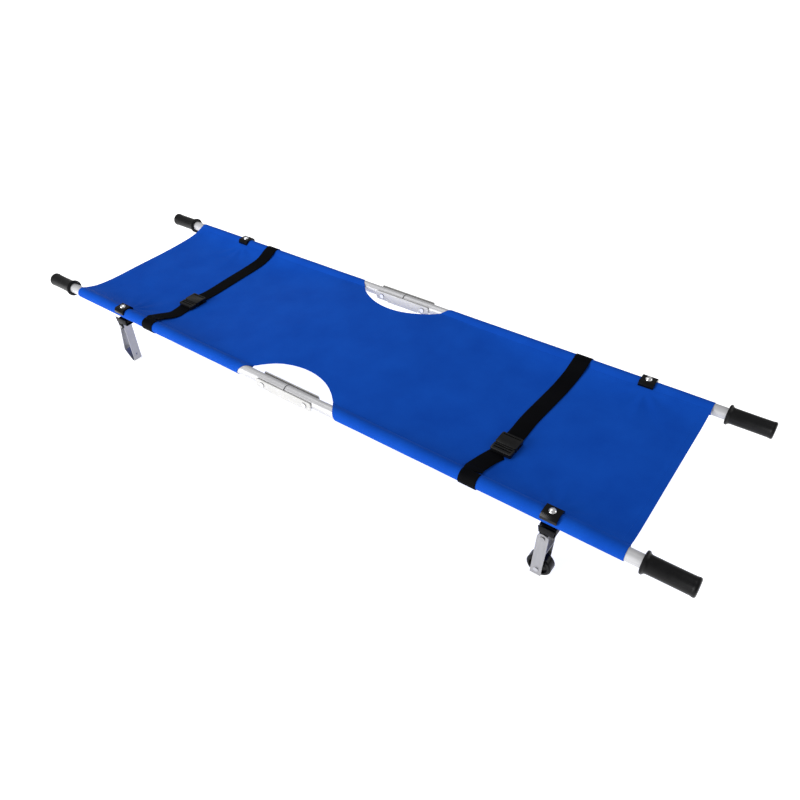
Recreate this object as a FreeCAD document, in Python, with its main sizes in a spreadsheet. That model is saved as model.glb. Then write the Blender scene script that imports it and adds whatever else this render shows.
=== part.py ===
import FreeCAD, Part
import math
import os
import re
import Sketcher
from FreeCAD import Placement, Rotation, Vector

# Folding stretcher: two poles that fold at mid length, two folding spreader bars under a canvas bed,
# two strap feet at the left end and two wheeled feet at the right end.
# Frame: X along the poles with the wheels at +X, Y across from the near pole (-Y) to the far pole (+Y),
# Z up from the floor. The origin is on the floor, in the middle of the bed.

doc = FreeCAD.newDocument("folding_stretcher")

# Driving dimensions in millimetres.
dimensions = [
    ("overall_length", 2080, "grip end to grip end"),
    ("pole_spacing", 508, "between the axes of the two poles"),
    ("pole_height", 185, "pole axis above the floor"),
    ("tube_radius", 15, "outside of the pole tube"),
    ("tube_wall", 1.6, "wall of the pole tube"),
    ("seam_gap", 3, "between the two halves of a pole"),
    ("fit_gap", 0.3, "between pieces that pass or rest side by side"),
    ("pin_clearance", 0.05, "radial, round pins, bolts and axles"),
    ("grip_length", 106, "hand grip with its flange"),
    ("grip_radius", 20, "outside of the hand grip"),
    ("grip_chamfer", 2.5, "rim of the closed end of the grip"),
    ("grip_end_wall", 3, "closed end of the grip"),
    ("flange_radius", 24.75, "hand stop at the inner end of the grip"),
    ("flange_thickness", 7, "hand stop"),
    ("knuckle_offset", 73.5, "from mid length to each pin of the pole hinge"),
    ("knuckle_drop", 2, "hinge pin below the pole axis"),
    ("knuckle_pin_radius", 4, "pin of the pole hinge"),
    ("channel_half_length", 95, "hinge channel from its middle to its end"),
    ("channel_rise", 12, "top edge of the channel above the pole axis"),
    ("channel_wall", 2.5, "sheet of the hinge channel"),
    ("channel_gap", 0.4, "between the channel and the tube"),
    ("web_half_length", 54, "floor of the channel from its middle to its end"),
    ("channel_corner", 5, "rounded corner of a channel side"),
    ("rivet_head_radius", 6.5, "flat heads of the hinge pins"),
    ("rivet_head_thickness", 2.2, "flat heads of the hinge pins"),
    ("canvas_left_end", 890, "canvas edge from mid length, strap foot end"),
    ("canvas_right_end", 905, "canvas edge from mid length, wheel end"),
    ("canvas_thickness", 3, "bed of folded cloth"),
    ("canvas_drop", 13, "top of the bed below the pole axis"),
    ("cutout_half_length", 153, "hand opening at the hinge, along the pole"),
    ("cutout_depth", 80, "hand opening at the hinge, in from the pole axis"),
    ("hem_gap", 0.1, "between the tube and the cloth tunnel"),
    ("hem_thickness", 1.2, "cloth tunnel around the pole"),
    ("clamp_left", 674, "clamp bolt from mid length, strap foot end"),
    ("clamp_right", 742, "clamp bolt from mid length, wheel end"),
    ("clamp_half_length", 19, "saddle and block, from the bolt to either end"),
    ("clamp_bolt_radius", 4, "shank of the clamp bolt and of the foot pins"),
    ("dome_radius", 8.5, "domed head of the clamp bolt"),
    ("dome_height", 5.5, "domed head of the clamp bolt"),
    ("saddle_rise", 20, "top of the saddle above the pole axis"),
    ("saddle_skirt", 5, "lower edge of the saddle above the pole axis"),
    ("saddle_top_half_width", 13.5, "flat top of the saddle"),
    ("saddle_half_width", 19.5, "sides of the saddle"),
    ("saddle_shoulder", 7, "height of the sloping shoulder of the saddle"),
    ("block_half_width", 14, "block under the pole"),
    ("block_drop", 26, "lower face of the block below the pole axis"),
    ("bar_thickness", 3, "spreader bar"),
    ("bar_width", 20, "spreader bar"),
    ("bar_gap", 0.2, "above and below each spreader bar"),
    ("open_pivot_clearance", 0.4, "radial, the eye that closes the second linkage"),
    ("boss_radius", 9, "boss that carries or presses the spreader bar"),
    ("plate_thickness", 2.8, "bottom plate of the foot mount"),
    ("slot_margin", 3, "from the eye of a spreader bar to the web of the foot mount"),
    ("cheek_thickness", 2.5, "ears that hold the foot pin"),
    ("cheek_radius", 10, "ears that hold the foot pin"),
    ("cheek_gap", 0.4, "between each ear and the fork strip outside it"),
    ("strip_width", 26, "flat strip of the feet"),
    ("strip_thickness", 3, "flat strip of the feet"),
    ("swing_clearance", 0.6, "between a swinging foot and its mount"),
    ("foot_pin_left", 695.7, "pin of a strap foot from mid length"),
    ("foot_pin_right", 737, "pin of a wheeled foot from mid length"),
    ("strap_foot_neck", 2.75, "half of the flat top of the strap foot, before its bends"),
    ("strap_foot_flare", 27.5, "outboard bend of the strap foot from its pin"),
    ("strap_foot_knee", 35, "outboard bend of the strap foot above the floor"),
    ("strap_foot_toe", 5.3, "lowest bend of the strap foot, outboard of its pin"),
    ("strap_foot_bend", 6, "inside radius of the bends"),
    ("strap_foot_crown", 2.5, "flat top of the strap foot above its pin, before its bends"),
    ("barrel_radius", 9.5, "barrel of the strap foot around its pin"),
    ("lace_hole_radius", 3, "hole near the toe of the strap foot"),
    ("lace_hole_height", 24, "hole near the toe, above the floor"),
    ("wheel_radius", 29.3, "wheel"),
    ("wheel_width", 25, "wheel"),
    ("wheel_hub_radius", 11, "hub of the wheel"),
    ("wheel_hub_width", 28, "hub of the wheel"),
    ("wheel_web_width", 15, "dished side of the wheel"),
    ("wheel_rim", 7.5, "rim of the wheel, tread to dish"),
    ("wheel_round", 2.8, "rounded edge of the tread"),
    ("wheel_lean", 6, "axle inboard of the foot pin"),
    ("fork_inside", 19.3, "half of the gap between the two fork strips"),
    ("fork_toe", 17, "fork strip below the axle"),
    ("bridge_drop", 46, "fork bridge below the foot pin"),
    ("axle_radius", 4, "axle of the wheel"),
    ("pin_head_radius", 6, "heads of foot pins and axles"),
    ("pin_head_thickness", 2, "heads of foot pins and axles"),
    ("centre_head_radius", 8, "heads of the spreader centre bolt"),
    ("centre_head_thickness", 2.5, "heads of the spreader centre bolt"),
    ("strap_left", 552, "patient strap from mid length, left"),
    ("strap_right", 558, "patient strap from mid length, right"),
    ("strap_width", 45, "webbing"),
    ("strap_thickness", 1.8, "webbing"),
    ("buckle_left", 95, "left buckle from the middle of the bed"),
    ("buckle_right", 115, "right buckle from the middle of the bed"),
    ("buckle_half_length", 31, "closed buckle, across the bed"),
    ("buckle_width", 54, "buckle along the pole"),
    ("buckle_height", 13, "buckle"),
    ("buckle_corner", 4, "corners of the buckle"),
    ("socket_length", 38, "buckle socket, across the bed"),
    ("socket_wall", 2.8, "buckle socket"),
    ("socket_floor", 4, "closed end of the buckle socket"),
    ("window_length", 16, "side window that shows a prong"),
    ("prong_width", 8, "side prong of the buckle plug"),
    ("guide_width", 9, "middle guide of the buckle plug"),
    ("prong_clearance", 0.5, "around the prongs inside the socket"),
    ("ladder_slot", 3.5, "webbing slots of the plug and of the socket"),
]

sheet = doc.addObject("Spreadsheet::Sheet", "Dims")
for row, (alias, value, note) in enumerate(dimensions, 1):
    sheet.set(f"A{row}", note)
    sheet.set(f"B{row}", str(value))
    sheet.setAlias(f"B{row}", alias)
doc.recompute()

# Sizes that follow from the driving ones.
derived = {
    "half_length": "overall_length / 2",
    "half_spacing": "pole_spacing / 2",
    "hem_radius": "tube_radius + hem_gap + hem_thickness",
    "cutout_radius": "(cutout_half_length^2 + cutout_depth^2) / (2 * cutout_depth)",
    "cutout_centre": "half_spacing + cutout_radius - cutout_depth",
    "channel_inside": "tube_radius + channel_gap",
    "channel_outside": "channel_inside + channel_wall",
    "block_top": "hem_radius + fit_gap",
    "upper_bar_top": "block_drop + bar_gap",
    "lower_bar_top": "upper_bar_top + bar_thickness + bar_gap",
    "plate_top": "lower_bar_top + bar_thickness + bar_gap",
    "plate_bottom": "plate_top + plate_thickness",
    "boss_height": "bar_thickness + bar_gap",
    "web_offset": "bar_width / 2 + slot_margin",
    "foot_pin_drop": "plate_bottom + strip_width / 2 + swing_clearance",
    "foot_pin_height": "pole_height - foot_pin_drop",
    "strap_foot_ear": "strip_width / 2 + fit_gap",
    "fork_ear": "fork_inside - cheek_thickness - cheek_gap",
    "fork_outside": "fork_inside + strip_thickness",
    "axle_x": "foot_pin_right - wheel_lean",
    "fork_slope": "wheel_lean / (foot_pin_height - wheel_radius)",
    "fork_bottom": "wheel_radius - fork_toe",
    "strap_foot_outer": "strap_foot_bend + strip_thickness",
    "bed_top": "pole_height - canvas_drop",
    "strap_inside": "hem_radius + fit_gap",
    "strap_outside": "strap_inside + strap_thickness",
    "strap_level": "bed_top + fit_gap",
    "strap_middle_radius": "strap_inside + strap_thickness / 2",
    "strap_run_drop": "canvas_drop - fit_gap - strap_thickness / 2",
    "strap_run_offset": "sqrt((strap_middle_radius)^2 - (strap_run_drop)^2)",
    "canvas_edge_offset": "sqrt((strap_outside + fit_gap)^2 - canvas_drop^2)",
}
aliases = {alias for alias, value, note in dimensions}


def formula(text):
    """Spell out the derived sizes and point every driving size at the sheet."""
    word = re.compile(r"[a-z][a-z_]*")
    while any(name in derived for name in word.findall(text)):
        text = word.sub(lambda m: f"({derived[m[0]]})" if m[0] in derived else m[0], text)
    return word.sub(lambda m: f"Dims.{m[0]}" if m[0] in aliases else m[0], text)


def bind(thing, **sizes):
    for name, text in sizes.items():
        thing.setExpression(name, formula(text))
    return thing


def place(thing, at, rotation=None):
    if rotation:
        thing.Placement = Placement(Vector(), rotation)
    for axis, text in zip("xyz", at):
        thing.setExpression(f"Placement.Base.{axis}", formula(text))
    return thing


along = {
    "X": Rotation(Vector(0, 1, 0), 90),
    "Y": Rotation(Vector(1, 0, 0), -90),
    "Z": Rotation(),
}


# Part primitives. A cylinder starts at its place and runs along +axis; a block starts at its low corner.
def cylinder(name, radius, length, at, axis="Z"):
    solid = bind(doc.addObject("Part::Cylinder", name), Radius=radius, Height=length)
    return place(solid, at, along[axis])


def block(name, size, at):
    solid = doc.addObject("Part::Box", name)
    bind(solid, Length=size[0], Width=size[1], Height=size[2])
    return place(solid, at)


def fuse(name, *pieces):
    joined = doc.addObject("Part::MultiFuse", name)
    joined.Shapes = list(pieces)
    joined.Refine = True
    return joined


def cut(name, base, *tools):
    result = doc.addObject("Part::Cut", name)
    result.Base = base
    result.Tool = tools[0] if len(tools) == 1 else fuse(name + "_tools", *tools)
    return result


# Sketches and features of a PartDesign body.
def origin_plane(body, role):
    return next(o for o in body.Origin.OriginFeatures if o.Role == role)


def body_sketch(body, name, role):
    sketch = body.newObject("Sketcher::SketchObject", name)
    sketch.AttachmentSupport = [(origin_plane(body, role), "")]
    sketch.MapMode = "FlatFace"
    return sketch


def locate(sketch, geometry, end, x, y):
    """Tie a point of the sketch to its distances from the sketch's origin."""
    for kind, text, axis in (("DistanceX", x, -2), ("DistanceY", y, -1)):
        if text == "0":
            sketch.addConstraint(Sketcher.Constraint("PointOnObject", geometry, end, axis))
        else:
            size = sheet.evalExpression(formula(text))
            index = sketch.addConstraint(Sketcher.Constraint(kind, -1, 1, geometry, end, size))
            sketch.setExpression(f"Constraints[{index}]", formula(text))


def polygon(sketch, points):
    first = sketch.GeometryCount
    values = [[sheet.evalExpression(formula(text)) for text in point] for point in points]
    for here, there in zip(values, values[1:] + values[:1]):
        sketch.addGeometry(Part.LineSegment(Vector(*here, 0), Vector(*there, 0)), False)
    count = len(points)
    for index in range(count):
        after = first + (index + 1) % count
        sketch.addConstraint(Sketcher.Constraint("Coincident", first + index, 2, after, 1))
    for index, (x, y) in enumerate(points):
        locate(sketch, first + index, 1, x, y)
    return sketch


def rectangle(sketch, low, high):
    return polygon(sketch, [low, (high[0], low[1]), high, (low[0], high[1])])


def circle(sketch, radius, x="0", y="0"):
    centre = Vector(sheet.evalExpression(formula(x)), sheet.evalExpression(formula(y)), 0)
    size = sheet.evalExpression(formula(radius))
    index = sketch.addGeometry(Part.Circle(centre, Vector(0, 0, 1), size), False)
    locate(sketch, index, 3, x, y)
    limit = sketch.addConstraint(Sketcher.Constraint("Radius", index, size))
    sketch.setExpression(f"Constraints[{limit}]", formula(radius))
    return sketch


def new_body(name, at, rotation=None):
    return place(doc.addObject("PartDesign::Body", name), at, rotation)


def pad(body, name, sketch, length):
    feature = body.newObject("PartDesign::Pad", name)
    feature.Profile = sketch
    feature.SideType = "Symmetric"
    return bind(feature, Length=length)


def pocket(body, name, sketch):
    feature = body.newObject("PartDesign::Pocket", name)
    feature.Profile = sketch
    feature.Type = "ThroughAll"
    feature.SideType = "Symmetric"
    return feature


def revolve(body, name, sketch, axis):
    feature = body.newObject("PartDesign::Revolution", name)
    feature.Profile = sketch
    feature.ReferenceAxis = (sketch, [axis])
    feature.Angle = 360
    return feature


nodes = {}


def keep(name, thing):
    thing.Label = name
    nodes[name] = thing
    return thing


ends = {"left": -1, "right": 1}
sides = {"near": -1, "far": 1}


def span(sign, inner, outer):
    """Low end of a stretch that runs from inner to outer on one side of mid length."""
    return inner if sign > 0 else f"-({outer})"


def pole_y(side):
    return f"{sides[side]} * half_spacing"


# Poles: four tubes, bored for the hinge pin and the clamp bolt, each with a grip and a cloth tunnel.
def pole_tube(name, end, side):
    sign = ends[end]
    inner, outer = "seam_gap / 2", "half_length - grip_end_wall"
    start = span(sign, inner, outer)
    length = f"({outer}) - ({inner})"
    at = (start, pole_y(side), "pole_height")
    wall = cylinder(name + "_wall", "tube_radius", length, at, "X")
    bore = cylinder(name + "_bore", "tube_radius - tube_wall", length, at, "X")
    pin_at = (f"{sign} * knuckle_offset", f"{pole_y(side)} - channel_outside", "pole_height - knuckle_drop")
    pin = cylinder(name + "_pin_hole", "knuckle_pin_radius + pin_clearance", "2 * channel_outside", pin_at, "Y")
    return cut(name, wall, bore, pin, bolt_hole(name, end, side))


def bolt_hole(name, end, side):
    at = (f"{ends[end]} * clamp_{end}", pole_y(side), "pole_height - 2 * block_drop")
    return cylinder(name + "_bolt_hole", "clamp_bolt_radius + pin_clearance", "4 * block_drop", at)


def grip(name, end, side):
    turn = Rotation(Vector(0, 0, 1), 180 if ends[end] > 0 else 0)
    body = new_body(name, (f"{ends[end]} * half_length", pole_y(side), "pole_height"), turn)
    profile = polygon(body_sketch(body, name + "_profile", "XZ_Plane"), [
        ("0", "0"),
        ("0", "grip_radius - grip_chamfer"),
        ("grip_chamfer", "grip_radius"),
        ("grip_length - flange_thickness", "grip_radius"),
        ("grip_length - flange_thickness", "flange_radius"),
        ("grip_length", "flange_radius"),
        ("grip_length", "tube_radius + pin_clearance"),
        ("grip_end_wall", "tube_radius + pin_clearance"),
        ("grip_end_wall", "0"),
    ])
    revolve(body, name + "_sleeve", profile, "H_Axis")
    return body


def hem(name, end, side):
    inner, outer = "cutout_half_length", f"canvas_{end}_end"
    start = span(ends[end], inner, outer)
    length = f"({outer}) - ({inner})"
    at = (start, pole_y(side), "pole_height")
    outside = cylinder(name + "_outside", "hem_radius", length, at, "X")
    inside = cylinder(name + "_inside", "tube_radius + hem_gap", length, at, "X")
    return cut(name, outside, inside, bolt_hole(name, end, side))


# Pole hinge: a channel open at the top holds both halves of a pole, each on its own pin.
def hinge_channel(name, side):
    body = new_body(name, ("0", pole_y(side), "pole_height"))
    low = "-(channel_inside + channel_wall)"
    section = polygon(body_sketch(body, name + "_section", "YZ_Plane"), [
        ("-(channel_outside)", low),
        ("channel_outside", low),
        ("channel_outside", "channel_rise"),
        ("channel_inside", "channel_rise"),
        ("channel_inside", "-(channel_inside)"),
        ("-(channel_inside)", "-(channel_inside)"),
        ("-(channel_inside)", "channel_rise"),
        ("-(channel_outside)", "channel_rise"),
    ])
    pad(body, name + "_channel", section, "2 * channel_half_length")
    relief = body_sketch(body, name + "_relief", "XZ_Plane")
    rectangle(relief, ("-(channel_half_length + fit_gap)", f"{low} - fit_gap"),
              ("-(web_half_length)", "-(channel_inside)"))
    rectangle(relief, ("web_half_length", f"{low} - fit_gap"),
              ("channel_half_length + fit_gap", "-(channel_inside)"))
    pocket(body, name + "_open_ends", relief)
    holes = body_sketch(body, name + "_pin_holes", "XZ_Plane")
    for sign in (-1, 1):
        circle(holes, "knuckle_pin_radius + pin_clearance", f"{sign} * knuckle_offset", "-knuckle_drop")
    drilled = pocket(body, name + "_drilled", holes)
    doc.recompute()
    corners = [
        f"Edge{index}" for index, edge in enumerate(drilled.Shape.Edges, 1)
        if edge.BoundBox.XLength < 1e-6 and edge.BoundBox.ZLength < 1e-6
        and abs(abs(edge.BoundBox.XMin) - sheet.channel_half_length) < 1e-6
    ]
    rounded = body.newObject("PartDesign::Fillet", name + "_corners")
    rounded.Base = (drilled, corners)
    bind(rounded, Radius="channel_corner")
    return body


def headed_pin(name, x, y, z, half_length, shank, head, thickness):
    """A pin along Y with a flat head at each end."""
    start = f"{y} - ({half_length})"
    rod = cylinder(name + "_shank", shank, f"2 * ({half_length})", (x, start, z), "Y")
    heads = [
        cylinder(name + "_head_a", head, thickness, (x, f"{start} - {thickness}", z), "Y"),
        cylinder(name + "_head_b", head, thickness, (x, f"{y} + ({half_length})", z), "Y"),
    ]
    return fuse(name, rod, *heads)


def hinge_pins(name, side):
    pins = [
        headed_pin(f"{name}_{end}", f"{sign} * knuckle_offset", pole_y(side), "pole_height - knuckle_drop",
                   "channel_outside", "knuckle_pin_radius", "rivet_head_radius", "rivet_head_thickness")
        for end, sign in ends.items()
    ]
    group = doc.addObject("Part::Compound", name)
    group.Links = pins
    return group


# Clamps: a saddle over the hem, a foot mount under it and one bolt through both and the pole.
def saddle(name, end, side):
    at = (f"{ends[end]} * clamp_{end}", pole_y(side), "pole_height")
    body = new_body(name, at)
    shoulder = "saddle_rise - saddle_shoulder"
    section = polygon(body_sketch(body, name + "_section", "YZ_Plane"), [
        ("-saddle_half_width", "saddle_skirt"),
        ("saddle_half_width", "saddle_skirt"),
        ("saddle_half_width", shoulder),
        ("saddle_top_half_width", "saddle_rise"),
        ("-saddle_top_half_width", "saddle_rise"),
        ("-saddle_half_width", shoulder),
    ])
    pad(body, name + "_block", section, "2 * clamp_half_length")
    pole = circle(body_sketch(body, name + "_pole", "YZ_Plane"), "hem_radius + fit_gap")
    pocket(body, name + "_arch", pole)
    bolt = circle(body_sketch(body, name + "_bolt", "XY_Plane"), "clamp_bolt_radius + pin_clearance")
    pocket(body, name + "_bolt_hole", bolt)
    return body


def foot_mount(name, end, side):
    sign = ends[end]
    clamp, pin = f"clamp_{end}", f"foot_pin_{end}"
    ear = "strap_foot_ear" if end == "left" else "fork_ear"
    y = pole_y(side)

    def piece(label, inner, outer, half_width, top, bottom):
        size = (f"({outer}) - ({inner})", f"2 * ({half_width})", f"({bottom}) - ({top})")
        at = (span(sign, inner, outer), f"{y} - ({half_width})", f"pole_height - ({bottom})")
        return block(f"{name}_{label}", size, at)

    outboard = f"{clamp} + clamp_half_length"
    wide = f"({ear}) + cheek_thickness"
    tail = f"{pin} + cheek_radius" if end == "left" else outboard
    pieces = [
        piece("block", f"{clamp} - clamp_half_length", outboard, "block_half_width", "block_top", "block_drop"),
        piece("web", f"{clamp} + web_offset", outboard, "block_half_width", "block_top", "plate_bottom"),
        piece("plate", f"{clamp} - web_offset - slot_margin", tail, wide, "plate_top", "plate_bottom"),
    ]
    for which, low in (("a", f"{y} - ({wide})"), ("b", f"{y} + ({ear})")):
        size = ("2 * cheek_radius", "cheek_thickness", "foot_pin_drop - (plate_top)")
        at = (f"{sign} * {pin} - cheek_radius", low, "foot_pin_height")
        pieces.append(block(f"{name}_ear_{which}", size, at))
        round_at = (f"{sign} * {pin}", low, "foot_pin_height")
        pieces.append(cylinder(f"{name}_ear_{which}_round", "cheek_radius", "cheek_thickness", round_at, "Y"))
    boss_drop = "plate_top" if side == "near" else "block_drop + boss_height"
    boss_at = (f"{sign} * {clamp}", y, f"pole_height - ({boss_drop})")
    pieces.append(cylinder(f"{name}_boss", "boss_radius", "boss_height", boss_at))
    casting = fuse(name + "_casting", *pieces)
    pin_at = (f"{sign} * {pin}", f"{y} - ({wide}) - fit_gap", "foot_pin_height")
    pin_hole = cylinder(name + "_pin_hole", "clamp_bolt_radius + pin_clearance",
                        f"2 * (({wide}) + fit_gap)", pin_at, "Y")
    return cut(name, casting, pin_hole, bolt_hole(name, end, side))


def clamp_bolt(name, end, side):
    x, y = f"{ends[end]} * clamp_{end}", pole_y(side)
    low = "pole_height - (plate_bottom)"
    top = "pole_height + saddle_rise"
    dome = bind(doc.addObject("Part::Ellipsoid", name + "_dome"), Radius1="dome_height", Radius2="dome_radius")
    dome.Angle1 = 0
    place(dome, (x, y, top))
    shank = cylinder(name + "_shank", "clamp_bolt_radius", f"({top}) - ({low})", (x, y, low))
    foot = cylinder(name + "_foot", "pin_head_radius", "pin_head_thickness",
                    (x, y, f"{low} - pin_head_thickness"))
    return fuse(name, shank, foot, dome)


def foot_pin(name, end, side):
    half = "strap_foot_ear + cheek_thickness + fit_gap" if end == "left" else "fork_outside + fit_gap"
    return headed_pin(name, f"{ends[end]} * foot_pin_{end}", pole_y(side), "foot_pin_height", half,
                      "clamp_bolt_radius", "pin_head_radius", "pin_head_thickness")


# Strap foot: one flat strip bent into a narrow loop, hung on its pin by a barrel.
def strap_foot(name, side):
    y = pole_y(side)
    skeleton = doc.addObject("Sketcher::SketchObject", name + "_line")
    place(skeleton, ("0", f"{y} + strip_width / 2", "0"), Rotation(Vector(1, 0, 0), 90))
    shoulder = "foot_pin_height + strap_foot_crown"
    polygon(skeleton, [
        ("-(foot_pin_left - strap_foot_neck)", shoulder),
        ("-(foot_pin_left + strap_foot_neck)", shoulder),
        ("-(foot_pin_left + strap_foot_flare)", "strap_foot_knee"),
        ("-(foot_pin_left + strap_foot_toe)", "strap_foot_outer"),
    ])
    walls = []
    for label, distance in (("outside", "strap_foot_outer"), ("inside", "strap_foot_bend")):
        outline = doc.addObject("Part::Offset2D", f"{name}_{label}_line")
        outline.Source = skeleton
        bind(outline, Value=distance)
        solid = doc.addObject("Part::Extrusion", f"{name}_{label}")
        solid.Base = outline
        solid.DirMode = "Custom"
        solid.Dir = Vector(0, -1, 0)
        solid.Solid = True
        solid.FaceMakerClass = "Part::FaceMakerBullseye"
        walls.append(bind(solid, LengthFwd="strip_width"))
    low_y = f"{y} - strip_width / 2"
    pin_at = ("-foot_pin_left", low_y, "foot_pin_height")
    loop = cut(name + "_loop", *walls)
    barrel = cylinder(name + "_barrel", "barrel_radius", "strip_width", pin_at, "Y")
    bore = cylinder(name + "_bore", "clamp_bolt_radius + pin_clearance", "strip_width", pin_at, "Y")
    hole_at = ("-(foot_pin_left + strap_foot_toe)", y, "lace_hole_height")
    hole = cylinder(name + "_lace_hole", "lace_hole_radius", "3 * strap_foot_outer", hole_at, "X")
    return cut(name, fuse(name + "_blank", loop, barrel), bore, hole)


# Wheeled foot: two strips joined by a bridge, with the wheel between them on its axle.
def fork(name, side):
    body = new_body(name, ("0", pole_y(side), "0"))
    half = "strip_width / 2"
    foot_x = "foot_pin_right - fork_slope * (foot_pin_height - fork_bottom)"
    outline = polygon(body_sketch(body, name + "_outline", "XZ_Plane"), [
        (f"foot_pin_right - {half}", "foot_pin_height"),
        (f"foot_pin_right + {half}", "foot_pin_height"),
        (f"{foot_x} + {half}", "fork_bottom"),
        (f"{foot_x} - {half}", "fork_bottom"),
    ])
    pad(body, name + "_strips", outline, "2 * fork_outside")
    crown = circle(body_sketch(body, name + "_crown", "XZ_Plane"), half, "foot_pin_right", "foot_pin_height")
    pad(body, name + "_crowns", crown, "2 * fork_outside")
    inside = body_sketch(body, name + "_inside", "YZ_Plane")
    bridge_top = "foot_pin_height - bridge_drop"
    rectangle(inside, ("-fork_inside", bridge_top), ("fork_inside", "foot_pin_height + strip_width"))
    rectangle(inside, ("-fork_inside", "fork_bottom - strip_width"),
              ("fork_inside", f"{bridge_top} - strip_thickness"))
    pocket(body, name + "_gap", inside)
    holes = body_sketch(body, name + "_holes", "XZ_Plane")
    circle(holes, "clamp_bolt_radius + pin_clearance", "foot_pin_right", "foot_pin_height")
    circle(holes, "axle_radius + pin_clearance", "axle_x", "wheel_radius")
    pocket(body, name + "_drilled", holes)
    return body


def wheel(name, side):
    body = new_body(name, ("axle_x", pole_y(side), "wheel_radius"))
    dish = "wheel_radius - wheel_rim"
    half = [
        ("axle_radius + pin_clearance", "wheel_hub_width / 2"),
        ("wheel_hub_radius", "wheel_hub_width / 2"),
        ("wheel_hub_radius", "wheel_web_width / 2"),
        (dish, "wheel_web_width / 2"),
        (dish, "wheel_width / 2"),
        ("wheel_radius - wheel_round", "wheel_width / 2"),
        ("wheel_radius", "wheel_width / 2 - wheel_round"),
    ]
    other = [(radius, f"-({width})") for radius, width in reversed(half)]
    section = polygon(body_sketch(body, name + "_section", "XY_Plane"), half + other)
    revolve(body, name + "_turned", section, "V_Axis")
    return body


# Spreader: two flat bars that meet at a centre bolt. The near bar lies above the far bar.
def spreader_bar(name, end, side):
    upper = side == "near"
    top = "upper_bar_top" if upper else "lower_bar_top"
    start_y = pole_y(side) if upper else "0"
    middle = f"pole_height - ({top}) - bar_thickness / 2"
    body = new_body(name, (f"{ends[end]} * clamp_{end}", start_y, middle))
    sketch = body_sketch(body, name + "_outline", "XY_Plane")
    radius = sheet.bar_width / 2
    length = sheet.pole_spacing / 2
    around = Vector(0, 0, 1)
    near_end = Part.ArcOfCircle(Part.Circle(Vector(), around, radius), math.pi, 2 * math.pi)
    far_end = Part.ArcOfCircle(Part.Circle(Vector(0, length, 0), around, radius), 0, math.pi)
    sketch.addGeometry(near_end, False)
    sketch.addGeometry(Part.LineSegment(Vector(radius, 0, 0), Vector(radius, length, 0)), False)
    sketch.addGeometry(far_end, False)
    sketch.addGeometry(Part.LineSegment(Vector(-radius, length, 0), Vector(-radius, 0, 0)), False)
    for first, first_end, second, second_end in ((0, 2, 1, 1), (1, 2, 2, 1), (2, 2, 3, 1), (3, 2, 0, 1)):
        sketch.addConstraint(Sketcher.Constraint("Tangent", first, first_end, second, second_end))
    sketch.addConstraint(Sketcher.Constraint("Coincident", 0, 3, -1, 1))
    locate(sketch, 2, 3, "0", "half_spacing")
    limit = sketch.addConstraint(Sketcher.Constraint("Radius", 0, radius))
    sketch.setExpression(f"Constraints[{limit}]", formula("bar_width / 2"))
    pad(body, name + "_blank", sketch, "bar_thickness")
    holes = body_sketch(body, name + "_eyes", "XY_Plane")
    is_open = end == "right" and side == "far"
    far_eye = "open_pivot_clearance" if is_open else "pin_clearance"
    circle(holes, "clamp_bolt_radius + pin_clearance")
    circle(holes, f"clamp_bolt_radius + {far_eye}", "0", "half_spacing")
    pocket(body, name + "_drilled", holes)
    return body


def centre_bolt(name, end):
    x = f"{ends[end]} * clamp_{end}"
    low = "pole_height - (lower_bar_top + bar_thickness)"
    top = "pole_height - (upper_bar_top)"
    shank = cylinder(name + "_shank", "clamp_bolt_radius", f"({top}) - ({low})", (x, "0", low))
    upper = cylinder(name + "_upper_head", "centre_head_radius", "centre_head_thickness", (x, "0", top))
    lower = cylinder(name + "_lower_head", "centre_head_radius", "centre_head_thickness",
                     (x, "0", f"{low} - centre_head_thickness"))
    return fuse(name, shank, upper, lower)


# Canvas bed: one sheet for each half and one over the hinges, with a rounded hand opening at each hinge.
def canvas(name, inner, outer, sign):
    half_width = "half_spacing - canvas_edge_offset"
    size = (f"({outer}) - ({inner})", f"2 * ({half_width})", "canvas_thickness")
    at = (span(sign, inner, outer), f"-({half_width})", "bed_top - canvas_thickness")
    cloth = block(name + "_cloth", size, at)
    openings = [
        cylinder(f"{name}_{side}_opening", "cutout_radius", "3 * canvas_thickness",
                 ("0", f"{sides[side]} * (cutout_centre)", "bed_top - 2 * canvas_thickness"))
        for side in sides
    ]
    return cut(name, cloth, *openings)


# Patient straps: webbing looped around each pole and run flat across the bed to the buckle.
def strap(name, end, side):
    x = f"{ends[end]} * strap_{end} - strap_width / 2"
    y = pole_y(side)
    outside = cylinder(name + "_outside", "strap_outside", "strap_width", (x, y, "pole_height"), "X")
    inside = cylinder(name + "_inside", "strap_inside", "strap_width", (x, y, "pole_height"), "X")
    if side == "near":
        low = "strap_run_offset - half_spacing"
        high = f"-buckle_{end} - buckle_half_length - fit_gap"
    else:
        low = f"-buckle_{end} + buckle_half_length + fit_gap"
        high = "half_spacing - strap_run_offset"
    run = block(name + "_run", ("strap_width", f"({high}) - ({low})", "strap_thickness"), (x, low, "strap_level"))
    return fuse(name, cut(name + "_loop", outside, inside), run)


# Buckle: a flat socket with an open end and side windows, and a plug with two prongs and a guide.
# Both run from the far side towards the near pole, so the plug pulls out that way.
half_turn = Rotation(Vector(0, 0, 1), 180)


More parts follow.
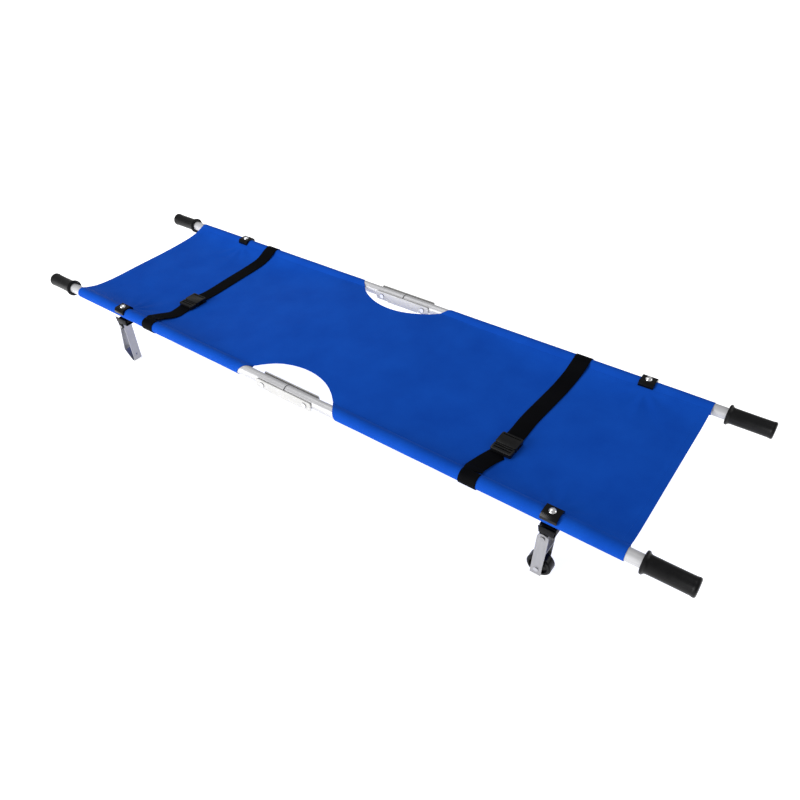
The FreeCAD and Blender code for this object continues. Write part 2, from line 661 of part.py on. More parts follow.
def rounded_body(name, at, length, width, height, corner):
    body = new_body(name, at, half_turn)
    outline = rectangle(body_sketch(body, name + "_outline", "XY_Plane"),
                        (f"-({width}) / 2", "0"), (f"({width}) / 2", length))
    solid = pad(body, name + "_solid", outline, height)
    doc.recompute()
    upright = [
        f"Edge{index}" for index, edge in enumerate(solid.Shape.Edges, 1)
        if edge.BoundBox.XLength < 1e-6 and edge.BoundBox.YLength < 1e-6
    ]
    rounded = body.newObject("PartDesign::Fillet", name + "_corners")
    rounded.Base = (solid, upright)
    bind(rounded, Radius=corner)
    return body


def buckle_origin(end):
    """Middle of the closed end of the socket, on the side of the far pole."""
    return (f"{ends[end]} * strap_{end}", f"-buckle_{end} + buckle_half_length",
            "strap_level + buckle_height / 2")


def buckle_socket(name, end):
    at = buckle_origin(end)
    shell = rounded_body(name + "_shell", at, "socket_length", "buckle_width", "buckle_height", "buckle_corner")
    inside = "buckle_width / 2 - socket_wall"
    tall = "buckle_height - 2 * socket_wall"

    def tool(label, depth, width, length, height):
        corner = (f"{at[0]} - ({width}) / 2", f"{at[1]} - ({depth}) - ({length})", f"{at[2]} - ({height}) / 2")
        return block(f"{name}_{label}", (width, length, height), corner)

    throat = "ladder_slot + 2 * socket_floor"
    window = f"{throat} + socket_wall"
    return cut(name, shell, *[
        tool("cavity", throat, f"2 * ({inside})", f"socket_length - ({throat}) + fit_gap", tall),
        tool("webbing_slot", "socket_floor", "strap_width", "ladder_slot", "buckle_height + fit_gap"),
        tool("windows", window, "2 * buckle_width", "window_length", tall),
    ])


def buckle_plug(name, end):
    x, y, z = buckle_origin(end)
    face = f"{y} - socket_length - fit_gap"
    bar_length = "2 * buckle_half_length - socket_length - fit_gap"
    bar = rounded_body(name + "_bar", (x, face, z), bar_length, "buckle_width", "buckle_height - socket_wall",
                       "buckle_corner")
    thick = "buckle_height - 2 * socket_wall - 2 * prong_clearance"
    reach = "socket_length - (ladder_slot + 2 * socket_floor) - prong_clearance"
    inside = "buckle_width / 2 - socket_wall - prong_clearance"

    def prong(label, low_x, width):
        size = (width, f"({reach}) + fit_gap + socket_wall", thick)
        return block(f"{name}_{label}", size, (f"{x} + {low_x}", f"{face} - socket_wall", f"{z} - ({thick}) / 2"))

    pieces = [
        bar,
        prong("left_prong", f"-({inside})", "prong_width"),
        prong("right_prong", f"({inside}) - prong_width", "prong_width"),
        prong("guide", "-guide_width / 2", "guide_width"),
    ]
    slots = [
        block(f"{name}_slot_{number}", ("strap_width", "ladder_slot", "2 * buckle_height"),
              (f"{x} - strap_width / 2", f"{face} - {number} * (ladder_slot + socket_floor)",
               f"{z} - buckle_height"))
        for number in (1, 2)
    ]
    return cut(name, fuse(name + "_blank", *pieces), *slots)


for side in sides:
    keep(f"{side}_hinge_channel", hinge_channel(f"{side}_hinge_channel", side))
    keep(f"{side}_hinge_pins", hinge_pins(f"{side}_hinge_pins", side))
    for end in ends:
        corner = f"{side}_{end}"
        keep(f"{corner}_pole", pole_tube(f"{corner}_pole", end, side))
        keep(f"{corner}_grip", grip(f"{corner}_grip", end, side))
        keep(f"{corner}_hem", hem(f"{corner}_hem", end, side))
        keep(f"{corner}_saddle", saddle(f"{corner}_saddle", end, side))
        keep(f"{corner}_foot_mount", foot_mount(f"{corner}_foot_mount", end, side))
        keep(f"{corner}_clamp_bolt", clamp_bolt(f"{corner}_clamp_bolt", end, side))
        keep(f"{corner}_foot_pin", foot_pin(f"{corner}_foot_pin", end, side))
        keep(f"{corner}_spreader_bar", spreader_bar(f"{corner}_spreader_bar", end, side))
        keep(f"{corner}_strap", strap(f"{corner}_strap", end, side))
    keep(f"{side}_strap_foot", strap_foot(f"{side}_strap_foot", side))
    keep(f"{side}_wheel_fork", fork(f"{side}_wheel_fork", side))
    keep(f"{side}_wheel", wheel(f"{side}_wheel", side))
    keep(f"{side}_wheel_axle", headed_pin(f"{side}_wheel_axle", "axle_x", pole_y(side), "wheel_radius",
                                          "fork_outside", "axle_radius", "pin_head_radius",
                                          "pin_head_thickness"))

for end in ends:
    keep(f"{end}_centre_bolt", centre_bolt(f"{end}_centre_bolt", end))
    keep(f"{end}_buckle_socket", buckle_socket(f"{end}_buckle_socket", end))
    keep(f"{end}_buckle_plug", buckle_plug(f"{end}_buckle_plug", end))
    keep(f"canvas_{end}", canvas(f"canvas_{end}", "knuckle_offset + fit_gap", f"canvas_{end}_end", ends[end]))
keep("canvas_middle", canvas("canvas_middle", "-(knuckle_offset - fit_gap)", "knuckle_offset - fit_gap", 1))

doc.recompute()

failed = [thing.Name for thing in doc.Objects if {"Invalid", "Error"} & set(thing.State)]
failed += [name for name, thing in nodes.items() if thing.Shape.isNull() or not thing.Shape.isValid()]
failed += [name for name, thing in nodes.items() if not thing.Shape.Solids]
if failed:
    raise RuntimeError(f"failed: {failed}")

os.makedirs("parts", exist_ok=True)
for name, thing in sorted(nodes.items()):
    thing.Shape.exportStep(f"parts/{name}.step")
    print(name, len(thing.Shape.Solids), round(thing.Shape.Volume))
print(len(nodes), "nodes")
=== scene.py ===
import math

import bpy
from mathutils import Matrix, Vector, noise


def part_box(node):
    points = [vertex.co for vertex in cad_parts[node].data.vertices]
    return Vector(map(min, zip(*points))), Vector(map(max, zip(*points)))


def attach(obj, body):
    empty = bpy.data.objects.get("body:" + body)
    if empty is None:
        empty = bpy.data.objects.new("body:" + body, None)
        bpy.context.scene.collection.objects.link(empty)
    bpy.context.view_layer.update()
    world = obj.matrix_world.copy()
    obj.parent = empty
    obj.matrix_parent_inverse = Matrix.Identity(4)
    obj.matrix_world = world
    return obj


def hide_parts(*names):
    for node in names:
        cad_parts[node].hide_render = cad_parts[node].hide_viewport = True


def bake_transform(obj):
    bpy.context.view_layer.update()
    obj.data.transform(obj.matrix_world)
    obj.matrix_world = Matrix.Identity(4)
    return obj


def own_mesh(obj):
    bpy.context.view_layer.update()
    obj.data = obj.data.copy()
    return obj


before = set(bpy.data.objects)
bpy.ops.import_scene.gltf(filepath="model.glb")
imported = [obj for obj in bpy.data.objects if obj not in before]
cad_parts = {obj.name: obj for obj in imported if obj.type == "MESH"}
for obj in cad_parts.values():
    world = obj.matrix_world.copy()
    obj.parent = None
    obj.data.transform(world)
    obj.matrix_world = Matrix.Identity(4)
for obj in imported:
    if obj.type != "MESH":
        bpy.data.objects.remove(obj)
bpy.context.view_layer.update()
scene = bpy.context.scene

ends = {"left": -1, "right": 1}  # strap feet at the left, wheels at the right
sides = {"near": -1, "far": 1}


def middleOf(node):
    low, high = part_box(node)
    return (low + high) / 2


def pieceName(side, end, what):
    return f"{side}{end.title()}{what}"


poleLow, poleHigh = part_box("near_right_pole")
poleMiddle = (poleLow + poleHigh) / 2
poleAxis = Vector((0, -poleMiddle.y, poleMiddle.z))  # y is the distance from the middle of the bed
canvasEnd = {end: abs(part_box(f"canvas_{end}")[0 if sign < 0 else 1].x) for end, sign in ends.items()}
clampAt = {end: abs(middleOf(f"near_{end}_clamp_bolt").x) for end in ends}
strapAt = {end: middleOf(f"{end}_buckle_socket").x for end in ends}


# Camera, in degrees and millimetres, and its place in metres
cameraView = {"azimuth": 38.83, "elevation": 40.17, "roll": 3.56, "lens": 31.36, "sensor": 36.0}
cameraPlace = (1.0887, -1.15264, 1.29708)


def lookMatrix(azimuth, elevation, roll):
    turn, tilt, lean = (math.radians(a) for a in (azimuth, elevation, roll))
    back = Vector((math.sin(turn) * math.cos(tilt), -math.cos(turn) * math.cos(tilt), math.sin(tilt)))
    right = (-back).cross(Vector((0, 0, 1))).normalized()
    down = (-back).cross(right)
    leanedRight = math.cos(lean) * right + math.sin(lean) * down
    leanedDown = math.cos(lean) * down - math.sin(lean) * right
    return Matrix((leanedRight, -leanedDown, back)).transposed().to_4x4()


cameraData = bpy.data.cameras.new("studioCamera")
cameraData.lens = cameraView["lens"]
cameraData.sensor_width = cameraView["sensor"]
camera = bpy.data.objects.new("studioCamera", cameraData)
camera.matrix_world = Matrix.Translation(cameraPlace) @ lookMatrix(
    cameraView["azimuth"], cameraView["elevation"], cameraView["roll"])
scene.collection.objects.link(camera)
scene.camera = camera
print("camera placed")


# Material nodes
def newMaterial(name, **sockets):
    material = bpy.data.materials.new(name)
    material.use_nodes = True
    shader = material.node_tree.nodes["Principled BSDF"]
    for socket, value in sockets.items():
        shader.inputs[socket.replace("_", " ")].default_value = value
    return material, shader


def addNode(material, kind, inputs=None, **settings):
    node = material.node_tree.nodes.new(kind)
    for key, value in settings.items():
        setattr(node, key, value)
    for key, value in (inputs or {}).items():
        node.inputs[key].default_value = value
    return node


def join(material, source, target):
    material.node_tree.links.new(source, target)


def coordinates(material, source, scale=(1, 1, 1), rotation=(0, 0, 0)):
    where = addNode(material, "ShaderNodeTexCoord")
    mapping = addNode(material, "ShaderNodeMapping", {"Scale": scale, "Rotation": rotation})
    join(material, where.outputs[source], mapping.inputs["Vector"])
    return mapping.outputs["Vector"]


def grain(material, vector, scale, detail=4.0, rough=0.55):
    texture = addNode(material, "ShaderNodeTexNoise", {"Scale": scale, "Detail": detail, "Roughness": rough})
    join(material, vector, texture.inputs["Vector"])
    return texture.outputs["Fac"]


def ramp(material, fac, stops):
    node = addNode(material, "ShaderNodeValToRGB")
    elements = node.color_ramp.elements
    while len(elements) < len(stops):
        elements.new(0.5)
    for element, (position, colour) in zip(elements, stops):
        element.position = position
        element.color = (*colour, 1) if len(colour) == 3 else colour
    join(material, fac, node.inputs["Fac"])
    return node.outputs["Color"]


def mapped(material, value, low, high):
    node = addNode(material, "ShaderNodeMapRange", {"To Min": low, "To Max": high})
    join(material, value, node.inputs["Value"])
    return node.outputs["Result"]


def combine(material, operation, first, second):
    node = addNode(material, "ShaderNodeMath", operation=operation)
    for socket, value in zip(node.inputs, (first, second)):
        if isinstance(value, (int, float)):
            socket.default_value = value
        else:
            join(material, value, socket)
    return node.outputs["Value"]


def bump(material, shader, height, strength, distance):
    node = addNode(material, "ShaderNodeBump", {"Strength": strength, "Distance": distance})
    join(material, height, node.inputs["Height"])
    join(material, node.outputs["Normal"], shader.inputs["Normal"])


# Bands of thread at that pitch in metres
def threads(material, vector, pitch, direction):
    uneven = {"Scale": math.pi / (10 * pitch), "Distortion": 0.6, "Detail": 1.0, "Detail Scale": 0.4}
    wave = addNode(material, "ShaderNodeTexWave", uneven, bands_direction=direction)
    join(material, vector, wave.inputs["Vector"])
    return wave.outputs["Fac"]


# Cloth: pitch is from thread to thread, and relief is how far the threads stand up
clothFinish = {
    "canvas": {"colours": ((0.0035, 0.056, 0.385), (0.006, 0.078, 0.475)), "pitch": 0.0011, "relief": 0.00025,
               "roughness": 0.6, "sheen": 0.22, "sheenTint": (0.35, 0.6, 1.0, 1), "specular": 0.02},
    "webbing": {"colours": ((0.0008, 0.0009, 0.0014), (0.003, 0.0032, 0.0044)), "pitch": 0.0016,
                "relief": 0.0004, "roughness": 0.65, "sheen": 0.0, "sheenTint": (0.6, 0.62, 0.7, 1),
                "specular": 0.03},
    "thread": {"colours": ((0.004, 0.078, 0.47), (0.007, 0.098, 0.56)), "pitch": 0.0006, "relief": 0.0001,
               "roughness": 0.6, "sheen": 0.22, "sheenTint": (0.35, 0.6, 1.0, 1), "specular": 0.02},
}


def clothMaterial(name, finish):
    material, shader = newMaterial(name, Roughness=finish["roughness"], Specular_IOR_Level=finish["specular"],
                                   Sheen_Weight=finish["sheen"], Sheen_Roughness=0.25,
                                   Sheen_Tint=finish["sheenTint"])
    flat = coordinates(material, "UV")
    warp = threads(material, flat, finish["pitch"], "X")
    weft = threads(material, flat, finish["pitch"], "Y")
    weave = combine(material, "MULTIPLY", warp, weft)
    cloud = grain(material, flat, 9.0, 5.0)
    tone = combine(material, "ADD", combine(material, "MULTIPLY", cloud, 0.75),
                   combine(material, "MULTIPLY", weave, 0.25))
    colour = ramp(material, tone, ((0.25, finish["colours"][0]), (0.7, finish["colours"][1])))
    join(material, colour, shader.inputs["Base Color"])
    fold = grain(material, flat, 38.0, 3.0)
    height = combine(material, "ADD", weave, combine(material, "MULTIPLY", fold, 1.4))
    bump(material, shader, height, 0.35, finish["relief"])
    return material


# Metal: stretch is how fine the brushing is along each axis
metalFinish = {
    "poleAluminium": {"colours": ((0.43, 0.43, 0.445), (0.54, 0.54, 0.555)), "roughness": (0.34, 0.46),
                      "stretch": (6, 900, 900), "metallic": 0.3, "relief": 0.00003},
    "hingeAluminium": {"colours": ((0.46, 0.457, 0.445), (0.56, 0.556, 0.545)), "roughness": (0.4, 0.5),
                       "stretch": (12, 600, 600), "metallic": 0.25, "relief": 0.00003},
    "footAluminium": {"colours": ((0.27, 0.268, 0.278), (0.37, 0.368, 0.38)), "roughness": (0.36, 0.5),
                      "stretch": (500, 500, 14), "metallic": 0.9, "relief": 0.00004},
    "barSteel": {"colours": ((0.44, 0.45, 0.46), (0.60, 0.61, 0.62)), "roughness": (0.3, 0.5),
                 "stretch": (300, 300, 300), "metallic": 1.0, "relief": 0.00004},
    # Dark metal of the rings round the hinge rivet heads, painted shade at the rivet rims
    "washerSteel": {"colours": ((0.10, 0.10, 0.11), (0.17, 0.17, 0.18)), "roughness": (0.35, 0.5),
                    "stretch": (400, 400, 400), "metallic": 0.8, "relief": 0.00002},
    "pinSteel": {"colours": ((0.36, 0.36, 0.38), (0.52, 0.52, 0.54)), "roughness": (0.26, 0.4),
                 "stretch": (400, 400, 400), "metallic": 1.0, "relief": 0.00002},
    "rivetSteel": {"colours": ((0.72, 0.72, 0.73), (0.86, 0.86, 0.87)), "roughness": (0.14, 0.26),
                   "stretch": (400, 400, 400), "metallic": 1.0, "relief": 0.00002},
}


def metalMaterial(name, finish):
    material, shader = newMaterial(name, Metallic=finish["metallic"])
    brushed = grain(material, coordinates(material, "Object", finish["stretch"]), 1.0, 6.0, 0.6)
    handled = grain(material, coordinates(material, "Object"), 14.0, 4.0)
    tone = combine(material, "ADD", combine(material, "MULTIPLY", brushed, 0.5),
                   combine(material, "MULTIPLY", handled, 0.5))
    join(material, ramp(material, tone, ((0.3, finish["colours"][0]), (0.65, finish["colours"][1]))),
         shader.inputs["Base Color"])
    join(material, mapped(material, tone, finish["roughness"][0], finish["roughness"][1]),
         shader.inputs["Roughness"])
    bump(material, shader, brushed, 0.3, finish["relief"])
    return material


# Plastic and rubber: texture is how fine the moulded grain is
mouldedFinish = {
    "saddlePlastic": {"colours": ((0.0015, 0.0015, 0.002), (0.004, 0.004, 0.0046)), "roughness": (0.15, 0.24),
                      "texture": 900, "relief": 0.00004, "specular": 0.16},
    "blockPlastic": {"colours": ((0.002, 0.002, 0.0024), (0.005, 0.005, 0.0055)), "roughness": (0.3, 0.44),
                     "texture": 900, "relief": 0.00006, "specular": 0.08},
    "bucklePlastic": {"colours": ((0.004, 0.004, 0.0045), (0.009, 0.009, 0.0095)), "roughness": (0.2, 0.32),
                      "texture": 1200, "relief": 0.00003, "specular": 0.18},
    "gripRubber": {"colours": ((0.003, 0.003, 0.0034), (0.007, 0.007, 0.0076)), "roughness": (0.3, 0.42),
                   "texture": 700, "relief": 0.00008, "specular": 0.16},
    "wheelRubber": {"colours": ((0.001, 0.001, 0.0014), (0.003, 0.003, 0.0036)), "roughness": (0.2, 0.32),
                    "texture": 600, "relief": 0.00008, "specular": 0.12},
}


def mouldedMaterial(name, finish):
    material, shader = newMaterial(name, Specular_IOR_Level=finish["specular"])
    place = coordinates(material, "Object")
    fine = grain(material, place, finish["texture"], 2.0)
    scuff = grain(material, place, 45.0, 6.0, 0.65)
    join(material, ramp(material, scuff, ((0.35, finish["colours"][0]), (0.7, finish["colours"][1]))),
         shader.inputs["Base Color"])
    join(material, mapped(material, scuff, finish["roughness"][0], finish["roughness"][1]),
         shader.inputs["Roughness"])
    bump(material, shader, fine, 0.4, finish["relief"])
    return material


surfaces = {}
for name, finish in clothFinish.items():
    surfaces[name] = clothMaterial(name, finish)
for name, finish in metalFinish.items():
    surfaces[name] = metalMaterial(name, finish)
for name, finish in mouldedFinish.items():
    surfaces[name] = mouldedMaterial(name, finish)
print("materials made", len(surfaces))


def paint(thing, name):
    thing.data.materials.clear()
    thing.data.materials.append(surfaces[name])


nodeFinish = {
    "_pole": "poleAluminium", "_hinge_channel": "hingeAluminium", "_hinge_pins": "rivetSteel",
    "_saddle": "saddlePlastic", "_foot_mount": "blockPlastic", "_clamp_bolt": "rivetSteel",
    "_foot_pin": "footAluminium", "_strap_foot": "footAluminium", "_wheel_fork": "footAluminium",
    "_wheel_axle": "pinSteel", "_wheel": "wheelRubber", "_spreader_bar": "barSteel",
    "_centre_bolt": "rivetSteel", "_buckle_socket": "bucklePlastic", "_buckle_plug": "bucklePlastic",
    "_grip": "gripRubber",
}
for nodeName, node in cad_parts.items():
    ending = next((e for e in nodeFinish if nodeName.endswith(e)), None)
    if ending:
        paint(node, nodeFinish[ending])
print("frame painted")


# Modelling helpers
def selectOnly(thing):
    bpy.ops.object.select_all(action="DESELECT")
    thing.select_set(True)
    bpy.context.view_layer.objects.active = thing


def applyModifier(thing, kind, **settings):
    selectOnly(thing)
    modifier = thing.modifiers.new(kind.title(), kind)
    for key, value in settings.items():
        setattr(modifier, key, value)
    bpy.ops.object.modifier_apply(modifier=modifier.name)


def smooth(thing, angle=40):
    selectOnly(thing)
    bpy.ops.object.shade_smooth_by_angle(angle=math.radians(angle))


# A sheet of along by across faces, where place(u, v) gives the point and the flat coordinates in metres
def clothGrid(name, along, across, place):
    bpy.ops.object.select_all(action="DESELECT")
    bpy.ops.mesh.primitive_grid_add(x_subdivisions=along, y_subdivisions=across, size=1)
    cloth = bpy.context.object
    cloth.name = name
    cloth.data.name = name
    flat = []
    for vertex in cloth.data.vertices:
        point, cut = place(vertex.co.x + 0.5, vertex.co.y + 0.5)
        vertex.co = point
        flat.append(cut)
    layer = cloth.data.uv_layers.active
    for loop in cloth.data.loops:
        layer.data[loop.index].uv = flat[loop.vertex_index]
    return cloth


def smoothStep(value, low, high):
    t = min(max((value - low) / (high - low), 0.0), 1.0)
    return t * t * (3 - 2 * t)


def lerp(a, b, t):
    return a + (b - a) * t


# Canvas bed: heights are measured from the pole axis, and runs go from 0 at the fold to 1 at the end
bed = {
    "seamInset": 0.019, "seamHigh": 0.009, "seamLow": 0.006, "seamEnd": 0.009, "dip": 0.036,
    "seamFall": (0.12, 0.34), "seamRise": (0.62, 0.88),
    "middleHigh": 0.0129, "sag": 0.0146, "sagAt": 0.55, "endSag": 0.007, "endFrom": 0.70,
    "thickness": 0.0011, "endHem": 0.022, "endInset": {"left": 0.0, "right": 0.0035}, "endCurve": 0.0012,
    "foldX": 0.0735, "foldRun": 0.05, "rollRadius": 0.0155, "rollTaper": 0.016, "rollRows": 44,
    "tuck": 0.0018, "tuckRun": 0.01, "cutoutHalfLength": 0.153, "cutoutDepth": 0.080,
    "rowStep": 0.0065, "columns": 84,
}
ripple = {"slow": 0.0014, "quick": 0.0005, "from": 0.085, "full": 0.20, "quietRun": 0.03}
pull = {"reach": 0.30, "count": 9, "height": 0.0022, "fade": 0.07, "clear": 0.035, "turn": 1.3}
foldHeight = middleOf("near_hinge_pins").z + bed["rollRadius"]  # top of the canvas over the fold
hem = {"outside": 0.0163, "thickness": 0.0010, "rowStep": 0.006, "columns": 34, "slack": 0.0004,
       "pinched": 0.0002, "heldTo": 0.025, "looseFrom": 0.06}
seamY = poleAxis.y - bed["seamInset"]
cutoutRadius = (bed["cutoutHalfLength"] ** 2 + bed["cutoutDepth"] ** 2) / (2 * bed["cutoutDepth"])
cutoutCentre = poleAxis.y + cutoutRadius - bed["cutoutDepth"]


# How far the bed reaches from the middle at that place along the poles
def edgeY(x):
    if abs(x) >= cutoutRadius:
        return seamY
    return min(seamY, cutoutCentre - math.sqrt(cutoutRadius ** 2 - x * x))


# Where the edge of a hand opening lies at that distance from the middle
def cutoutX(y):
    reach = cutoutCentre - y
    return math.sqrt(max(cutoutRadius ** 2 - reach * reach, 0.0))


def seamHeight(x):
    low = lerp(bed["seamHigh"], bed["seamLow"], smoothStep(abs(x), *bed["seamFall"]))
    return lerp(low, bed["seamEnd"], smoothStep(abs(x), *bed["seamRise"]))


# Folds that fan out on the bed from a clamp
def pullLines(x, y, end, side):
    away = Vector((x - ends[end] * clampAt[end], y - side * seamY))
    reach = away.length
    if reach >= pull["reach"]:
        return 0.0
    angle = math.atan2(-side * away.y, away.x)
    folds = math.sin(angle * pull["count"] + pull["turn"] * side) * math.exp(-reach / pull["fade"])
    return pull["height"] * folds * smoothStep(reach, 0.0, pull["clear"])


def bedHeight(x, y):
    run = max(abs(x) - bed["foldX"], 0.0) / (canvasEnd["left"] - bed["foldX"])
    middle = lerp(bed["middleHigh"], -bed["sag"], smoothStep(run, 0.0, bed["sagAt"]))
    middle = lerp(middle, -bed["endSag"], smoothStep(run, bed["endFrom"], 1.0))
    fromSeam = max(seamY - abs(y), 0.0)
    height = middle + (seamHeight(x) - middle) * math.exp(-fromSeam / bed["dip"])
    calm = smoothStep(abs(x), ripple["from"], ripple["full"])
    if calm > 0:
        slow = noise.noise(Vector((x * 5.1, y * 7.3, 0.7)))
        quick = noise.noise(Vector((x * 16.0, y * 11.0, 4.2)))
        quiet = smoothStep(fromSeam, 0.0, ripple["quietRun"])
        height += calm * quiet * (ripple["slow"] * slow + ripple["quick"] * quick)
        height += quiet * sum(pullLines(x, y, end, side) for end in ends for side in (-1, 1))
    flatTop = foldHeight - bed["thickness"] / 2
    return lerp(flatTop, poleAxis.z + height, smoothStep(abs(x), bed["foldX"], bed["foldX"] + bed["foldRun"]))


def bedSheet(end):
    sign = ends[end]
    start, finish = bed["foldX"], canvasEnd[end] - bed["endInset"][end]
    rows = int((finish - start) / bed["rowStep"])

    def place(u, v):
        run = u if sign > 0 else 1 - u
        across = 2 * v - 1
        endHere = finish - bed["endCurve"] * (1 - across * across)
        x = sign * lerp(start, endHere, run)
        opening = bed["cutoutHalfLength"]
        tucked = bed["tuck"] * smoothStep(abs(x), opening, opening + bed["tuckRun"])  # goes in under the hem
        y = (edgeY(x) + tucked) * across
        return Vector((x, y, bedHeight(x, y))), (x, y)

    cloth = clothGrid(f"{end}BedSheet", rows, bed["columns"], place)
    group = cloth.vertex_groups.new(name="endHem")
    for vertex in cloth.data.vertices:
        doubled = finish - abs(vertex.co.x) < bed["endHem"]
        group.add([vertex.index], 1.0 if doubled else 0.5, "REPLACE")
    applyModifier(cloth, "SOLIDIFY", thickness=2 * bed["thickness"], offset=0, vertex_group="endHem")
    smooth(cloth, 60)
    paint(cloth, "canvas")
    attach(cloth, f"near_{end}_frame")
    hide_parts(f"canvas_{end}")
    return cloth


# The sheet between the hinge pins, with a roll at each side that shows when the halves fold
def middleSheet():
    half, roll = bed["foldX"], bed["rollRadius"]
    pinHeight = middleOf("near_hinge_pins").z
    arcLength = roll * math.pi / 2
    total = half + arcLength

    def place(u, v):
        along = (2 * u - 1) * total
        sign = 1 if along > 0 else -1
        past = abs(along) - half
        if past <= 0:
            x, z = along, None
        else:
            angle = past / roll
            x = sign * (half + roll * math.sin(angle))
            z = pinHeight + roll * math.cos(angle)
        drawnIn = bed["rollTaper"] * max(past, 0.0) / arcLength
        y = (edgeY(min(abs(x), half)) - drawnIn) * (2 * v - 1)
        return Vector((x, y, foldHeight if z is None else z)), (along, y)

    cloth = clothGrid("middleBedSheet", bed["rollRows"], bed["columns"], place)
    applyModifier(cloth, "SOLIDIFY", thickness=bed["thickness"], offset=-1)
    smooth(cloth, 60)
    paint(cloth, "canvas")
    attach(cloth, "near_hinge")
    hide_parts("canvas_middle")
    return cloth


# The cloth tunnel runs from the seam over the pole and back, as (inward, up) from the axis
def tunnelSection(height, outside):
    seam = Vector((bed["seamInset"], height))
    spread = math.acos(min(outside / seam.length, 0.999))
    toward = math.atan2(seam.y, seam.x)
    first, last = toward + spread, toward - spread + 2 * math.pi
    tangent = math.sqrt(max(seam.length ** 2 - outside ** 2, 1e-8))
    return seam, first, last, tangent


def tunnelPoint(height, outside, share):
    seam, first, last, tangent = tunnelSection(height, outside)
    arc = outside * (last - first)
    run = share * (arc + 2 * tangent)
    if run < tangent:
        corner = Vector((math.cos(first), math.sin(first))) * outside
        return seam.lerp(corner, run / tangent), run
    if run < tangent + arc:
        angle = first + (run - tangent) / outside
        return Vector((math.cos(angle), math.sin(angle))) * outside, run
    corner = Vector((math.cos(last), math.sin(last))) * outside
    return corner.lerp(seam, (run - tangent - arc) / tangent), run


# The hand opening is cut through both layers of the flattened tunnel
def cutStart(run, total):
    return cutoutX(seamY + min(run, total - run))


def hemTunnel(side, end):
    sideSign, sign = sides[side], ends[end]
    finish = canvasEnd[end] - bed["endInset"][end]
    rows = int((finish - bed["cutoutHalfLength"]) / hem["rowStep"])

    def place(u, v):
        point, run = tunnelPoint(bed["seamLow"], hem["outside"], v)
        seam, first, last, tangent = tunnelSection(bed["seamLow"], hem["outside"])
        total = hem["outside"] * (last - first) + 2 * tangent
        start = cutStart(run, total)
        x = lerp(start, finish, u)
        point, run = tunnelPoint(seamHeight(x), hem["outside"], v)
        puff = noise.noise(Vector((x * 14, v * 5, sideSign * 3.1))) * hem["slack"]
        fromPlaces = min(abs(x - clampAt[end]), abs(x - abs(strapAt[end])))
        puff *= smoothStep(fromPlaces, hem["heldTo"], hem["looseFrom"])
        point = point * (1 + max(puff, -hem["pinched"]) / hem["outside"])
        return (Vector((sign * x, sideSign * (poleAxis.y - point.x), poleAxis.z + point.y)),
                (sign * x, seamY + run))

    cloth = clothGrid(pieceName(side, end, "Hem"), rows, hem["columns"], place)
    selectOnly(cloth)
    bpy.ops.object.mode_set(mode="EDIT")
    bpy.ops.mesh.select_all(action="SELECT")
    bpy.ops.mesh.remove_doubles(threshold=0.00001)
    bpy.ops.mesh.normals_make_consistent(inside=False)
    bpy.ops.object.mode_set(mode="OBJECT")
    applyModifier(cloth, "SOLIDIFY", thickness=hem["thickness"], offset=-1)
    smooth(cloth, 60)
    paint(cloth, "canvas")
    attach(cloth, f"{side}_{end}_frame")
    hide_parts(f"{side}_{end}_hem")


sheets = {end: bedSheet(end) for end in ends}
sheets["middle"] = middleSheet()
for side in sides:
    for end in ends:
        hemTunnel(side, end)
for cloth in sheets.values():
    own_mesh(cloth)
print("canvas bed made")


# Sewn seams: one stitch repeated along each seam line
stitch = {"length": 0.0030, "pitch": 0.0042, "radius": 0.00042, "flat": 0.8, "lift": 0.0001,
          "seamIn": 0.0035, "arcIn": 0.006, "hemIn": 0.0035, "foldClear": 0.003,
          "arcSteps": 16, "seamStep": 0.02, "endSteps": 60, "endShare": 0.985}


def seamLine(name, points):
    curve = bpy.data.curves.new(name, "CURVE")
    curve.dimensions = "3D"
    spline = curve.splines.new("POLY")
    spline.points.add(len(points) - 1)
    for node, point in zip(spline.points, points):
        node.co = (*point, 1)
    line = bpy.data.objects.new(name, curve)
    scene.collection.objects.link(line)
    return line


def sewSeam(name, points):
    line = seamLine(name + "Line", points)
    bpy.ops.object.select_all(action="DESELECT")
    bpy.ops.mesh.primitive_uv_sphere_add(segments=6, ring_count=4, radius=stitch["radius"])
    seam = bpy.context.object
    seam.name = seam.data.name = name
    seam.scale = (stitch["length"] / (2 * stitch["radius"]), 1, stitch["flat"])
    bpy.ops.object.transform_apply(location=True, rotation=True, scale=True)
    applyModifier(seam, "ARRAY", fit_type="FIT_CURVE", curve=line, use_relative_offset=False,
                  use_constant_offset=True, constant_offset_displace=(stitch["pitch"], 0, 0))
    applyModifier(seam, "CURVE", object=line, deform_axis="POS_X")
    bpy.data.objects.remove(line)
    smooth(seam, 60)
    paint(seam, "thread")
    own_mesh(seam)
    return seam


def onSheet(x, y):
    return Vector((x, y, bedHeight(x, y) + bed["thickness"] / 2 + stitch["lift"]))


